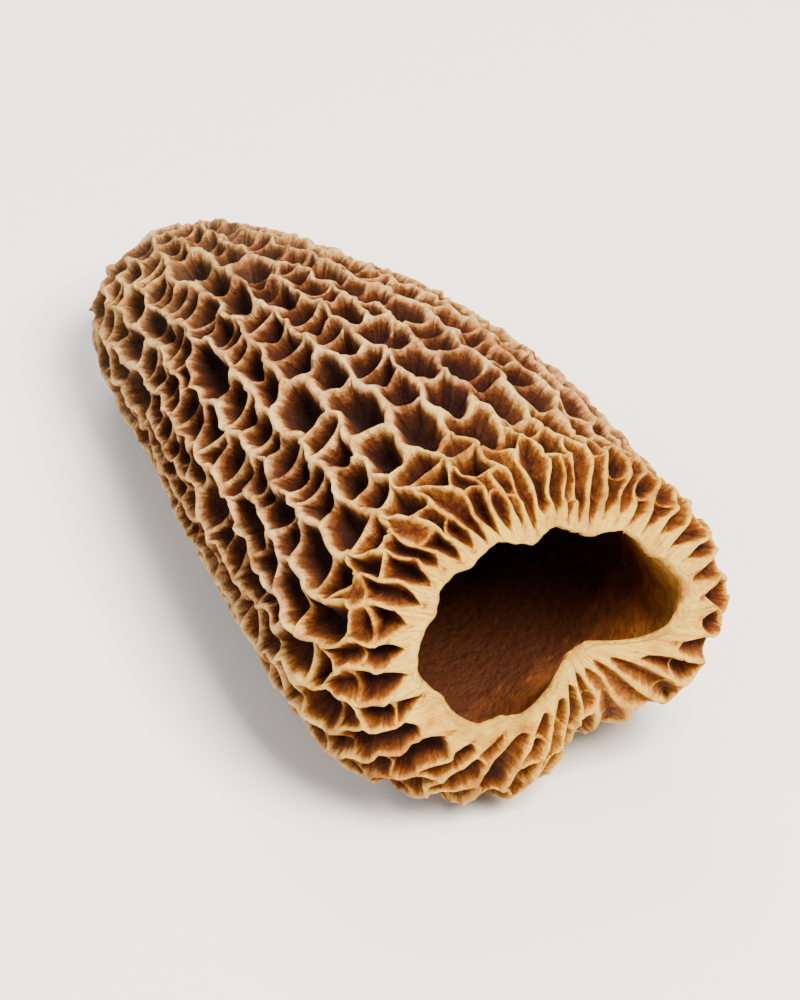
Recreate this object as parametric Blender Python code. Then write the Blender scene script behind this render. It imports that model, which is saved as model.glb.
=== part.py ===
"""Hollow cap of a dried morel mushroom, picked and cut at the stem, lying on its side.

The cap is one grown piece. A net of raised ribs covers it, with a sunken pit in each mesh of the net.
The ribs run on over a rounded shoulder and end in a smooth lip round the open mouth, and a hollow
reaches from the mouth nearly to the tip. Lengths are in metres, +Z is up and the mouth faces -Y.
"""

import math
import random

import bmesh
import bpy
from mathutils import Matrix, Vector, noise
from mathutils.geometry import delaunay_2d_cdt, intersect_point_line

MM = 0.001
FULL_TURN = 2 * math.pi

# Driving dimensions of the cap, measured over the rib crests
CAP_LENGTH = 57.0 * MM
SHOULDER_RADIUS = 13.4 * MM
LIP_RADIUS = 7.6 * MM

# Outline of the crests, as shares of the length from the tip and of the shoulder's radius
OUTLINE = (
    (0.000, 0.000),
    (0.012, 0.200),
    (0.045, 0.380),
    (0.105, 0.520),
    (0.190, 0.620),
    (0.310, 0.720),
    (0.460, 0.850),
    (0.640, 0.955),
    (0.790, 1.000),
    (0.885, 0.990),
    (0.942, 0.940),
    (0.976, 0.850),
    (0.993, 0.745),
    (1.000, LIP_RADIUS / SHOULDER_RADIUS),
)

# The mouth's rim lies aslant, nearer to the tip on one side
MOUTH_TILT = math.radians(13)
MOUTH_TILT_TURN = math.radians(118)
MOUTH_TILT_REACH = 18.0 * MM

# The mouth is an oval, and a fold of the wall pushes in on it from one side. The fold is a step on one
# flank and a slope on the other, and runs out over the shoulder as a turning groove.
LIP_SHIFT_SIDE = 0.95 * MM
LIP_SHIFT_UP = 3.15 * MM
LIP_WIDE = 0.21
LIP_WIDE_TURN = math.radians(1)
LIP_LOBES = 0.04
FOLD_TURN = math.radians(-36)
FOLD_STEP = math.radians(12)
FOLD_SLOPE = math.radians(56)
FOLD_DEPTH = 4.8 * MM
GROOVE_TURN = math.radians(-38)
GROOVE_STEP = math.radians(26)
GROOVE_DEPTH = 2.8 * MM
GROOVE_WIDTH = math.radians(13)
GROOVE_START = 6.5 * MM
GROOVE_END = 17.0 * MM
SHOULDER_ROUND = 2.3 * MM
SHOULDER_REACH = 4.0 * MM

# How the cap departs from a turned shape
OVAL = 0.045
OVAL_TURN = math.radians(12)
THREE_LOBES = 0.018
SIDE_BEND = 0.8 * MM
BACK_ARCH = 2.0 * MM
LYING_TILT = math.radians(7.7)
FLAT_DEPTH = 0.5 * MM

# Pits: each zone has its start along the outline, its columns of pits and the length of a pit
PIT_ZONES = (
    (2.7 * MM, 6, 2.8 * MM),
    (5.5 * MM, 12, 3.0 * MM),
    (8.6 * MM, 18, 3.5 * MM),
    (14.2 * MM, 23, 4.0 * MM),
    (25.0 * MM, 29, 4.4 * MM),
)
SLOT_COLUMNS = 43
SLOT_BUNCH = 0.28
SLOT_BUNCH_TURN = math.radians(70)
SLOT_ROW = 3.2 * MM
SLOT_GAP = 2.3 * MM
NET_STRETCH = 0.6
NET_JITTER = 0.26
NET_SWAY = 1.3 * MM
GAP_SHARE = 0.05
TWIN_SHARE = 0.10
STRAIGHTER = 0.55
RELAX_ROUNDS = 2
RELAX_SHARE = 0.30
NET_SEED = 11
BAND_WIDTH = 1.75 * MM
BAND_UNEVEN = 0.3

# Section of a rib and of the pit beside it
CREST_HALF_WIDTH = 0.36 * MM
CREST_UNEVEN = 0.30 * MM
WALL_SPREAD = 0.55 * MM
PIT_DEPTH = 2.2 * MM
SLOT_DEPTH = 1.3 * MM
FOLD_SHALLOW = 0.85

# Rings of the hollow, from the lip to its blind end: distance from the tip and radius
HOLLOW = (
    (56.4 * MM, 7.2 * MM),
    (55.2 * MM, 7.8 * MM),
    (53.0 * MM, 8.9 * MM),
    (49.5 * MM, 9.9 * MM),
    (44.0 * MM, 9.9 * MM),
    (37.0 * MM, 9.3 * MM),
    (29.0 * MM, 8.2 * MM),
    (20.5 * MM, 6.4 * MM),
    (13.5 * MM, 4.3 * MM),
    (9.6 * MM, 2.2 * MM),
)
HOLLOW_END = 8.8 * MM
LIP_BLEND = 9.0 * MM
LIP_SPREAD = 8.5 * MM


def clear_scene():
    """Removes what the startup scene holds."""
    for old in list(bpy.data.objects):
        bpy.data.objects.remove(old)


def eased(share):
    """Smooth step from 0 to 1."""
    share = min(1.0, max(0.0, share))
    return share * share * (3 - 2 * share)


class Outline:
    """The crest line from tip to lip, read by the distance along it."""

    STEPS = 24

    def __init__(self):
        """Lays a smooth curve through the outline's points and measures it."""
        ends = [(0.024, -0.190)] + list(OUTLINE) + [(1.01, 0.50)]
        points = [Vector((a * CAP_LENGTH, r * SHOULDER_RADIUS)) for a, r in ends]
        self.points = [points[1]]
        for i in range(1, len(points) - 2):
            self.points += [self.between(points[i - 1 : i + 3], k / self.STEPS) for k in range(1, self.STEPS + 1)]
        self.along = [0.0]
        for a, b in zip(self.points, self.points[1:]):
            self.along.append(self.along[-1] + (b - a).length)
        self.length = self.along[-1]

    @staticmethod
    def between(four, t):
        """Catmull-Rom curve between the middle two of four points."""
        p0, p1, p2, p3 = four
        linear = p2 - p0
        square = 2 * p0 - 5 * p1 + 4 * p2 - p3
        cube = 3 * p1 - p0 - 3 * p2 + p3
        return 0.5 * (2 * p1 + t * linear + t * t * square + t**3 * cube)

    def at(self, s):
        """(distance from the tip, radius) at the distance s along the crest line."""
        s = min(max(s, 0.0), self.length)
        low, high = 0, len(self.along) - 1
        while high - low > 1:
            middle = (low + high) // 2
            low, high = (middle, high) if self.along[middle] <= s else (low, middle)
        share = (s - self.along[low]) / (self.along[high] - self.along[low])
        point = self.points[low].lerp(self.points[high], share)
        return point.x, max(point.y, 0.0)


OUTLINE_CURVE = Outline()


def bump(turn, middle, step, slope):
    """A hump of height 1 at the middle turn, with its own width on each flank."""
    apart = (turn - middle + math.pi) % FULL_TURN - math.pi
    return math.exp(-((apart / (step if apart > 0 else slope)) ** 2))


def fold(turn, from_lip):
    """How deep the fold pushes the wall in, at this distance from the lip along the outline."""
    out = eased(from_lip / GROOVE_START)
    middle = FOLD_TURN + GROOVE_TURN * out
    step = FOLD_STEP + (GROOVE_STEP - FOLD_STEP) * out
    slope = FOLD_SLOPE + (GROOVE_WIDTH - FOLD_SLOPE) * out
    depth = FOLD_DEPTH + (GROOVE_DEPTH - FOLD_DEPTH) * out
    fade = 1 - eased((from_lip - GROOVE_START) / (GROOVE_END - GROOVE_START))
    return depth * fade * bump(turn, middle, step, slope)


def lip_stretch(turn):
    """Shape of the mouth's edge as a share of its mean radius, without the fold."""
    return 1 + LIP_WIDE * math.cos(2 * (turn - LIP_WIDE_TURN)) + LIP_LOBES * math.cos(3 * turn + 0.9)


def body_stretch(turn, axial):
    """How far the cap's section departs from a circle."""
    sway = 2.4 * axial / CAP_LENGTH
    return 1 + OVAL * math.cos(2 * (turn - OVAL_TURN)) + THREE_LOBES * math.cos(3 * turn + sway)


def placed(turn, axial, radius):
    """The point of the lying cap at this turn, distance from the tip and radius."""
    bend = math.sin(math.pi * min(axial / CAP_LENGTH, 1))
    aslant = eased(1 - (CAP_LENGTH - axial) / MOUTH_TILT_REACH) * math.tan(MOUTH_TILT)
    shift = eased(1 - (CAP_LENGTH - axial) / LIP_BLEND) ** 2
    x = radius * math.cos(turn) + SIDE_BEND * bend + LIP_SHIFT_SIDE * shift
    z = radius * math.sin(turn) + BACK_ARCH * bend + LIP_SHIFT_UP * shift
    return Vector((x, -axial + aslant * radius * math.cos(turn - MOUTH_TILT_TURN), z))


def crest_point(turn, s, rise=0.0):
    """The point on the crest surface at this turn and distance along the outline."""
    axial, radius = OUTLINE_CURVE.at(s)
    from_lip = OUTLINE_CURVE.length - s
    toward_lip = eased(1 - from_lip / LIP_SPREAD)
    stretch = body_stretch(turn, axial)
    stretch += (lip_stretch(turn) - stretch) * toward_lip
    return placed(turn, axial, radius * stretch - fold(turn, from_lip) + rise)


class FlatMap:
    """A flat picture of the crest surface, in which the pits are about as wide as they are long."""

    STEPS = 600

    def __init__(self):
        """Adds up the picture's radius from the tip to the lip."""
        step = OUTLINE_CURVE.length / self.STEPS
        log_radius = 0.0
        self.log_radii = [0.0]
        for i in range(1, self.STEPS + 1):
            s = (i - 0.5) * step
            radius = max(OUTLINE_CURVE.at(s)[1], 0.8 * s if s < 2 * MM else 0.0)
            stretch = 1 + (NET_STRETCH - 1) * eased(s / (12 * MM))
            log_radius += stretch * step / radius
            self.log_radii.append(log_radius)
        self.step = step

    def spot(self, turn, s):
        """Where the point at this turn and distance along the outline lies in the picture."""
        place = min(s / self.step, self.STEPS - 1e-6)
        low = int(place)
        log_radius = self.log_radii[low] + (place - low) * (self.log_radii[low + 1] - self.log_radii[low])
        radius = math.exp(log_radius - self.log_radii[-1]) if s > 0 else 0.0
        return Vector((radius * math.cos(turn), radius * math.sin(turn)))


FLAT_MAP = FlatMap()


def winding(turn, s):
    """How far a column of pits strays sideways at this distance along the outline, as a turn."""
    stray = noise.noise(Vector((2 * math.cos(turn), 2 * math.sin(turn), s / (11 * MM))))
    return NET_SWAY * stray / (OUTLINE_CURVE.at(s)[1] + 2 * MM)


def slot_turn(column):
    """Turn of a place in the row of slots, which are narrower on one side of the mouth."""
    even = FULL_TURN * column / SLOT_COLUMNS
    return even - SLOT_BUNCH * math.sin(even - SLOT_BUNCH_TURN)


def pit_seeds():
    """(turn, distance along the outline) of each pit's middle, and how many of them may move."""
    rng = random.Random(NET_SEED)
    slots_start = OUTLINE_CURVE.length - SLOT_ROW - SLOT_GAP
    starts = [zone[0] for zone in PIT_ZONES] + [slots_start]
    seeds = [(0.0, 0.0)]
    for (start, columns, length), end in zip(PIT_ZONES, starts[1:]):
        width = FULL_TURN / columns
        for column in range(columns):
            s = start + (0.5 * length if column % 2 else 0.0)
            while s < end - 0.25 * length:
                turn = width * column + 0.6 * start / MM + winding(width * column, s)
                turn += rng.uniform(-NET_JITTER, NET_JITTER) * width
                here = s + rng.uniform(-NET_JITTER, NET_JITTER) * length
                chance = rng.random()
                if chance < TWIN_SHARE:
                    seeds.append((turn - 0.27 * width, here + 0.12 * length))
                    seeds.append((turn + 0.27 * width, here - 0.12 * length))
                elif chance < 1 - GAP_SHARE:
                    seeds.append((turn, here))
                s += length * rng.uniform(0.85, 1.2)
    moving = len(seeds)
    for s, lag in ((OUTLINE_CURVE.length - SLOT_ROW, 0.5), (OUTLINE_CURVE.length, 0.0)):
        for column in range(SLOT_COLUMNS):
            sway = rng.uniform(-0.18, 0.18) if lag else 0.0
            seeds.append((slot_turn(column + lag + sway), s))
    return seeds, moving


def disc_spot(seed):
    """The seed on a disc whose radius is the distance along the outline."""
    turn, s = seed
    return Vector((s * math.cos(turn), s * math.sin(turn)))


def polar(spot):
    """Turn and distance along the outline of a point on that disc."""
    return math.atan2(spot.y, spot.x), spot.length


def triangles_between(seeds):
    """Delaunay triangles of the seeds in the flat picture."""
    spots = [FLAT_MAP.spot(*seed) for seed in seeds]
    return delaunay_2d_cdt(spots, [], [], 0, 1e-7)[2]


def relaxed(seeds, moving):
    """The seeds after each free one has moved a little toward the middle of its neighbours."""
    for _ in range(RELAX_ROUNDS):
        around = [set() for _ in seeds]
        for triangle in triangles_between(seeds):
            for corner in triangle:
                around[corner].update(triangle)
        moved = list(seeds)
        for i in range(1, moving):
            others = [disc_spot(seeds[k]) for k in around[i] if k != i]
            middle = sum(others, Vector((0, 0))) / len(others)
            moved[i] = polar(disc_spot(seeds[i]).lerp(middle, RELAX_SHARE))
        seeds = moved
    return seeds


def crest_rise(turn, s):
    """How far the crest stands above or below its even height at a corner of the net."""
    point = crest_point(turn, s)
    fade = eased((OUTLINE_CURVE.length - s) / (4 * MM))
    return CREST_UNEVEN * fade * noise.noise(point / (4 * MM))


def net_corner(seeds, triangle):
    """Where three pits meet: turn and distance along the outline.

    The corner is moved sideways to midway between the two columns of pits that meet there, so that the
    ribs between columns run on as long lines.
    """
    spots = [disc_spot(seeds[k]) for k in triangle]
    middle = sum(spots, Vector((0, 0))) / 3
    turn, s = polar(middle)
    aparts = sorted((polar(spot)[0] - turn + math.pi) % FULL_TURN - math.pi for spot in spots)
    if aparts[1] - aparts[0] < aparts[2] - aparts[1]:
        midway = (0.5 * (aparts[0] + aparts[1]) + aparts[2]) / 2
    else:
        midway = (0.5 * (aparts[1] + aparts[2]) + aparts[0]) / 2
    far_out = eased((s - 4 * MM) / (5 * MM))
    return turn + STRAIGHTER * far_out * midway, s


def build_net(bm):
    """Makes one face for each mesh of the net. Gives each pit with its depth, and the lip's corners."""
    seeds, moving = pit_seeds()
    seeds = relaxed(seeds, moving)
    triangles = triangles_between(seeds)
    around = [[] for _ in seeds]
    corners = []
    first_lip_seed = len(seeds) - SLOT_COLUMNS
    for triangle in triangles:
        turn, s = net_corner(seeds, triangle)
        if max(triangle) >= first_lip_seed:
            band_start = OUTLINE_CURVE.length - BAND_WIDTH
            s = band_start + BAND_UNEVEN * (s - OUTLINE_CURVE.length + 0.5 * SLOT_ROW)
        corners.append(bm.verts.new(crest_point(turn, s, crest_rise(turn, s))))
        for k in triangle:
            around[k].append((len(corners) - 1, disc_spot((turn, s))))
    pits = []
    for k in range(first_lip_seed):
        here = disc_spot(seeds[k])
        ring = sorted(around[k], key=lambda c: math.atan2(c[1].y - here.y, c[1].x - here.x))
        face = bm.faces.new([corners[i] for i, _ in ring])
        folded = fold(seeds[k][0], OUTLINE_CURVE.length - seeds[k][1]) / FOLD_DEPTH
        depth = PIT_DEPTH if k < moving else SLOT_DEPTH
        pits.append((face, depth * (1 - FOLD_SHALLOW * folded)))
    lip_turns = [slot_turn(k + 0.5) for k in range(SLOT_COLUMNS)]
    lip = [bm.verts.new(crest_point(turn, OUTLINE_CURVE.length)) for turn in lip_turns]
    for k in range(SLOT_COLUMNS):
        turn = slot_turn(k)

        def lead(corner, middle_turn=turn):
            return (polar(corner[1])[0] - middle_turn + math.pi) % FULL_TURN

        ring = sorted(around[first_lip_seed + k], key=lead)
        bm.faces.new([corners[i] for i, _ in ring] + [lip[k], lip[k - 1]])
    return pits, lip, lip_turns


def keeps_order(ring, moved, middle, normal):
    """Whether every side of the moved ring still runs the same way round the middle."""
    for i in range(len(ring)):
        side = ring[i] - ring[i - 1]
        moved_side = moved[i] - moved[i - 1]
        round_middle = (moved[i - 1] - middle).cross(moved[i] - middle).dot(normal)
        if moved_side.dot(side) < 0.1 * side.length_squared or round_middle <= 0:
            return False
    return True


def inset(ring, middle, normal, reach, distance):
    """The ring of corners drawn in by a distance, or evenly toward the middle where it would turn over."""
    share = distance / reach
    even = [corner.lerp(middle, share) for corner in ring]
    square = []
    for i, corner in enumerate(ring):
        a = normal.cross(corner - ring[i - 1]).normalized()
        b = normal.cross(ring[(i + 1) % len(ring)] - corner).normalized()
        square.append(corner + (a + b) * (distance / max(1 + a.dot(b), 0.5)))
    for part in (1.0, 0.8, 0.6, 0.4, 0.2):
        moved = [e.lerp(q, part) for e, q in zip(even, square)]
        if keeps_order(ring, moved, middle, normal):
            return moved
    return even


def sink(bm, face, depth):
    """Leaves the rib's flat crest round a mesh of the net, and makes the rest a pit."""
    outer = list(face.verts)
    ring = [v.co.copy() for v in outer]
    middle = sum(ring, Vector()) / len(ring)
    normal = face.normal.copy()
    sides = [(ring[i - 1], ring[i]) for i in range(len(ring))]
    reach = min((intersect_point_line(middle, a, b)[0] - middle).length for a, b in sides)
    crest = min(CREST_HALF_WIDTH, 0.35 * reach)
    floor = min(crest + WALL_SPREAD, 0.70 * reach)
    down = normal * min(depth, 1.9 * reach)
    bm.faces.remove(face)
    for distance, drop in ((crest, Vector()), (floor, down)):
        inner = [bm.verts.new(point - drop) for point in inset(ring, middle, normal, reach, distance)]
        for i in range(len(outer)):
            bm.faces.new((outer[i - 1], outer[i], inner[i], inner[i - 1]))
        outer = inner
    bm.faces.new(outer)


def hollow_point(turn, axial, radius):
    """A point on the hollow's wall, which follows the lip's shape near the mouth."""
    inward = CAP_LENGTH - axial
    stretch = body_stretch(turn, axial)
    stretch += (lip_stretch(turn) - stretch) * eased(1 - inward / LIP_BLEND)
    from_lip = inward + SHOULDER_ROUND * eased(inward / SHOULDER_REACH)
    return placed(turn, axial, radius * stretch - fold(turn, from_lip))


def line_hollow(bm, lip, lip_turns):
    """Carries the lip's corners ring by ring to the blind end of the hollow."""
    outer = lip
    for axial, radius in HOLLOW:
        inner = [bm.verts.new(hollow_point(turn, axial, radius)) for turn in lip_turns]
        for k in range(len(lip)):
            bm.faces.new((outer[k - 1], outer[k], inner[k], inner[k - 1]))
        outer = inner
    end = bm.verts.new(placed(0.0, HOLLOW_END, 0.0))
    for k in range(len(lip)):
        bm.faces.new((outer[k - 1], outer[k], end))


def lay_down(bm):
    """Tilts the cap onto its side, flattens the ribs that it lies on and centres it over the origin."""
    turned = Matrix.Rotation(-LYING_TILT, 4, "X")
    bmesh.ops.transform(bm, matrix=turned, verts=bm.verts)
    lowest = min(v.co.z for v in bm.verts)
    for v in bm.verts:
        v.co.z = max(v.co.z - lowest - FLAT_DEPTH, 0.0)
    for axis in (0, 1):
        values = [v.co[axis] for v in bm.verts]
        middle = (min(values) + max(values)) / 2
        for v in bm.verts:
            v.co[axis] -= middle


def dried_flesh():
    """Tan dried flesh, rough and without gloss."""
    material = bpy.data.materials.new("dried_flesh")
    material.use_nodes = True
    shader = material.node_tree.nodes["Principled BSDF"]
    shader.inputs["Base Color"].default_value = (0.42, 0.25, 0.11, 1)
    shader.inputs["Roughness"].default_value = 0.85
    shader.inputs["Metallic"].default_value = 0.0
    return material


def build_cap():
    """The whole cap as one closed solid."""
    bm = bmesh.new()
    pits, lip, lip_turns = build_net(bm)
    line_hollow(bm, lip, lip_turns)
    bmesh.ops.recalc_face_normals(bm, faces=bm.faces)
    for face, depth in pits:
        sink(bm, face, depth)
    lay_down(bm)
    mesh = bpy.data.meshes.new("morel_cap")
    bm.to_mesh(mesh)
    bm.free()
    mesh.materials.append(dried_flesh())
    cap = bpy.data.objects.new("morel_cap", mesh)
    bpy.context.scene.collection.objects.link(cap)


clear_scene()
build_cap()
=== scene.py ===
"""Finish of a dried morel mushroom cap, with the floor it lies on, soft lights and a camera.

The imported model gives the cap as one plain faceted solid. This script puts a finer skin of the same
cap in its place. The skin keeps the cap's outline, fold and net of pits, and adds winding ribs with
rounded crests, hollowed pits, a scalloped lip and a wrinkled lining. Lengths are in metres unless a name
says otherwise. The s of a place is its distance from the tip along the outline, and its turn is its
direction round the cap's axis, in radians.
"""

import logging
import math
import random
from bisect import bisect_right
from dataclasses import dataclass, field, replace
from enum import Enum
from functools import partial

import bpy
from mathutils import Matrix, Vector, noise
from mathutils.bvhtree import BVHTree
from mathutils.geometry import delaunay_2d_cdt

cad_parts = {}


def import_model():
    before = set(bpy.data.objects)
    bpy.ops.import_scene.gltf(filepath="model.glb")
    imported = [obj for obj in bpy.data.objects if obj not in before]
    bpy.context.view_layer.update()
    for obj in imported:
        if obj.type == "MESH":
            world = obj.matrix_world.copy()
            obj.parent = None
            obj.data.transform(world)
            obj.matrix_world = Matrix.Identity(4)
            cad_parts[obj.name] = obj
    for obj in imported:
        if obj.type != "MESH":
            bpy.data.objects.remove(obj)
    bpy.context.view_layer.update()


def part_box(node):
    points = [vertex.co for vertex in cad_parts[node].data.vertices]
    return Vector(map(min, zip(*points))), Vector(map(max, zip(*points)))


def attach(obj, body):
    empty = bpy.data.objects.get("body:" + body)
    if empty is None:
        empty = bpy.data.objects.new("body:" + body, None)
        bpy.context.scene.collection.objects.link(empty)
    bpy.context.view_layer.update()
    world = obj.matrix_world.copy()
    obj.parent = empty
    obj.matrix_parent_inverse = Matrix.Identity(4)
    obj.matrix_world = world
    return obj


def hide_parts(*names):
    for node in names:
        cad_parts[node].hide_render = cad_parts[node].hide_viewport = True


LOG = logging.getLogger("morel")
MM = 0.001
FULL_TURN = 2 * math.pi
CAD_NODE = "morel_cap"


def eased(share: float) -> float:
    """Smooth step from 0 to 1."""
    share = min(1.0, max(0.0, share))
    return share * share * (3 - 2 * share)


def wrapped(turn: float) -> float:
    """The turn brought to between minus and plus half a turn."""
    return (turn + math.pi) % FULL_TURN - math.pi


def rough(point: Vector, size: float, salt: float) -> float:
    """Smooth noise between about -1 and 1.

    Args:
        point: Where it is read, in metres.
        size: Width of one swell, in metres.
        salt: Sets one use of the noise apart from another.

    Returns:
        The noise at that point.
    """
    return 1.6 * noise.noise(point / size + Vector((salt, 2.3 * salt, -1.7 * salt)))


def disc_spot(turn: float, s: float) -> Vector:
    """The place on a disc whose radius is the distance along the outline."""
    return Vector((s * math.cos(turn), s * math.sin(turn)))


def offsets(points: list[Vector], middle: Vector, axis: Vector) -> list[float]:
    """How far each point lies from the middle in the direction of an axis."""
    return [(point - middle).dot(axis) for point in points]


def direction(azimuth: float, elevation: float) -> Vector:
    """Direction from the cap to a viewer, from degrees. Azimuth 0 is in front of the mouth."""
    a, e = math.radians(azimuth), math.radians(elevation)
    return Vector((math.sin(a) * math.cos(e), -math.cos(a) * math.cos(e), math.sin(e)))


def linear(hex_colour: str) -> tuple[float, float, float, float]:
    """Turns an sRGB colour such as "#D9B98C" into linear RGBA."""
    channels = [int(hex_colour[i : i + 2], 16) / 255 for i in (1, 3, 5)]
    return (*[c / 12.92 if c <= 0.04045 else ((c + 0.055) / 1.055) ** 2.4 for c in channels], 1.0)


@dataclass(frozen=True)
class CapForm:
    """The cap's outline, section, fold and hollow, as in the CAD source."""

    length: float = 57.0 * MM
    shoulder_radius: float = 13.4 * MM
    lip_radius: float = 7.6 * MM
    # Share of the length from the tip, and share of the shoulder's radius.
    outline: tuple[tuple[float, float], ...] = (
        (0.000, 0.000),
        (0.012, 0.200),
        (0.045, 0.380),
        (0.105, 0.520),
        (0.190, 0.620),
        (0.310, 0.720),
        (0.460, 0.850),
        (0.640, 0.955),
        (0.790, 1.000),
        (0.885, 0.990),
        (0.942, 0.940),
        (0.976, 0.850),
        (0.993, 0.745),
        (1.000, 7.6 / 13.4),
    )
    mouth_tilt: float = math.radians(13)
    mouth_tilt_turn: float = math.radians(118)
    mouth_tilt_reach: float = 18.0 * MM
    lip_shift_side: float = 0.95 * MM
    lip_shift_up: float = 3.15 * MM
    lip_wide: float = 0.21
    lip_wide_turn: float = math.radians(1)
    lip_lobes: float = 0.04
    lip_blend: float = 9.0 * MM
    lip_spread: float = 8.5 * MM
    fold_turn: float = math.radians(-36)
    fold_step: float = math.radians(12)
    fold_slope: float = math.radians(56)
    fold_depth: float = 4.8 * MM
    groove_turn: float = math.radians(-38)
    groove_step: float = math.radians(26)
    groove_depth: float = 2.8 * MM
    groove_width: float = math.radians(13)
    groove_start: float = 6.5 * MM
    groove_end: float = 17.0 * MM
    shoulder_round: float = 2.3 * MM
    shoulder_reach: float = 4.0 * MM
    oval: float = 0.045
    oval_turn: float = math.radians(12)
    three_lobes: float = 0.018
    side_bend: float = 0.8 * MM
    back_arch: float = 2.0 * MM
    lying_tilt: float = math.radians(7.7)
    flat_depth: float = 0.5 * MM
    # Distance from the tip, and radius.
    hollow: tuple[tuple[float, float], ...] = (
        (56.4 * MM, 7.2 * MM),
        (55.2 * MM, 7.8 * MM),
        (53.0 * MM, 8.9 * MM),
        (49.5 * MM, 9.9 * MM),
        (44.0 * MM, 9.9 * MM),
        (37.0 * MM, 9.3 * MM),
        (29.0 * MM, 8.2 * MM),
        (20.5 * MM, 6.4 * MM),
        (13.5 * MM, 4.3 * MM),
        (9.6 * MM, 2.2 * MM),
    )
    hollow_end: float = 8.8 * MM
    line: list[Vector] = field(default_factory=list)
    along: list[float] = field(default_factory=list)

    CURVE_STEPS = 24

    def __post_init__(self) -> None:
        """Lays a smooth curve through the outline's points and measures it."""
        ends = [(0.024, -0.190), *self.outline, (1.01, 0.50)]
        points = [Vector((a * self.length, r * self.shoulder_radius)) for a, r in ends]
        self.line.append(points[1])
        for i in range(1, len(points) - 2):
            four = points[i - 1 : i + 3]
            shares = [k / self.CURVE_STEPS for k in range(1, self.CURVE_STEPS + 1)]
            self.line.extend(self.between(four, share) for share in shares)
        self.along.append(0.0)
        for a, b in zip(self.line, self.line[1:]):
            self.along.append(self.along[-1] + (b - a).length)

    @staticmethod
    def between(four: list[Vector], t: float) -> Vector:
        """Catmull-Rom curve between the middle two of four points.

        Args:
            four: The points.
            t: Share of the way from the second to the third.

        Returns:
            The point there.
        """
        p0, p1, p2, p3 = four
        square = 2 * p0 - 5 * p1 + 4 * p2 - p3
        cube = 3 * p1 - p0 - 3 * p2 + p3
        return 0.5 * (2 * p1 + t * (p2 - p0) + t * t * square + t**3 * cube)

    @property
    def reach(self) -> float:
        """Length of the outline from the tip to the lip."""
        return self.along[-1]

    def outline_at(self, s: float) -> tuple[float, float]:
        """Reads the smooth outline.

        Args:
            s: Distance from the tip along the outline.

        Returns:
            Distance from the tip along the axis, and the radius there.
        """
        s = min(max(s, 0.0), self.reach)
        low = min(bisect_right(self.along, s), len(self.along) - 1) - 1
        share = (s - self.along[low]) / (self.along[low + 1] - self.along[low])
        point = self.line[low].lerp(self.line[low + 1], share)
        return point.x, max(point.y, 0.0)

    def fold(self, turn: float, from_lip: float) -> float:
        """Shapes the fold at the lip and the groove that it runs out in.

        Args:
            turn: Direction round the axis.
            from_lip: Distance from the lip along the outline.

        Returns:
            How deep the wall is pushed in.
        """
        out = eased(from_lip / self.groove_start)
        middle = self.fold_turn + self.groove_turn * out
        step = self.fold_step + (self.groove_step - self.fold_step) * out
        slope = self.fold_slope + (self.groove_width - self.fold_slope) * out
        depth = self.fold_depth + (self.groove_depth - self.fold_depth) * out
        fade = 1 - eased((from_lip - self.groove_start) / (self.groove_end - self.groove_start))
        apart = wrapped(turn - middle)
        return depth * fade * math.exp(-((apart / (step if apart > 0 else slope)) ** 2))

    def stretch(self, turn: float, axial: float, near_lip: float) -> float:
        """How far the cap's section departs from a circle, without the fold.

        Args:
            turn: Direction round the axis.
            axial: Distance from the tip along the axis.
            near_lip: Share of the mouth's own shape, 1 at its edge.

        Returns:
            The radius there as a share of the mean radius.
        """
        sway = 2.4 * axial / self.length
        oval = self.oval * math.cos(2 * (turn - self.oval_turn))
        body = 1 + oval + self.three_lobes * math.cos(3 * turn + sway)
        wide = self.lip_wide * math.cos(2 * (turn - self.lip_wide_turn))
        lip = 1 + wide + self.lip_lobes * math.cos(3 * turn + 0.9)
        return body + (lip - body) * near_lip

    def placed(self, turn: float, axial: float, radius: float) -> Vector:
        """Places a point, with the cap's bend and its slanted mouth.

        Args:
            turn: Direction round the axis.
            axial: Distance from the tip along the axis.
            radius: Distance from the axis.

        Returns:
            The point, before the cap is laid down.
        """
        bend = math.sin(math.pi * min(axial / self.length, 1))
        aslant = eased(1 - (self.length - axial) / self.mouth_tilt_reach) * math.tan(self.mouth_tilt)
        shift = eased(1 - (self.length - axial) / self.lip_blend) ** 2
        x = radius * math.cos(turn) + self.side_bend * bend + self.lip_shift_side * shift
        z = radius * math.sin(turn) + self.back_arch * bend + self.lip_shift_up * shift
        return Vector((x, -axial + aslant * radius * math.cos(turn - self.mouth_tilt_turn), z))

    def crest_point(self, turn: float, s: float, rise: float = 0.0) -> Vector:
        """Places a point of the surface that the crests lie in.

        Args:
            turn: Direction round the axis.
            s: Distance from the tip along the outline.
            rise: Height above that surface.

        Returns:
            The point, before the cap is laid down.
        """
        axial, radius = self.outline_at(s)
        from_lip = self.reach - s
        stretch = self.stretch(turn, axial, eased(1 - from_lip / self.lip_spread))
        return self.placed(turn, axial, radius * stretch - self.fold(turn, from_lip) + rise)

    def hollow_point(self, turn: float, axial: float, radius: float) -> Vector:
        """Places a point of the hollow's wall, which follows the lip and the fold near the mouth.

        Args:
            turn: Direction round the axis.
            axial: Distance from the tip along the axis.
            radius: Distance from the axis.

        Returns:
            The point, before the cap is laid down.
        """
        inward = self.length - axial
        stretch = self.stretch(turn, axial, eased(1 - inward / self.lip_blend))
        from_lip = inward + self.shoulder_round * eased(inward / self.shoulder_reach)
        return self.placed(turn, axial, radius * stretch - self.fold(turn, from_lip))


@dataclass(frozen=True)
class NetCorner:
    """A place where three pits meet."""

    turn: float
    s: float
    rise: float


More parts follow.
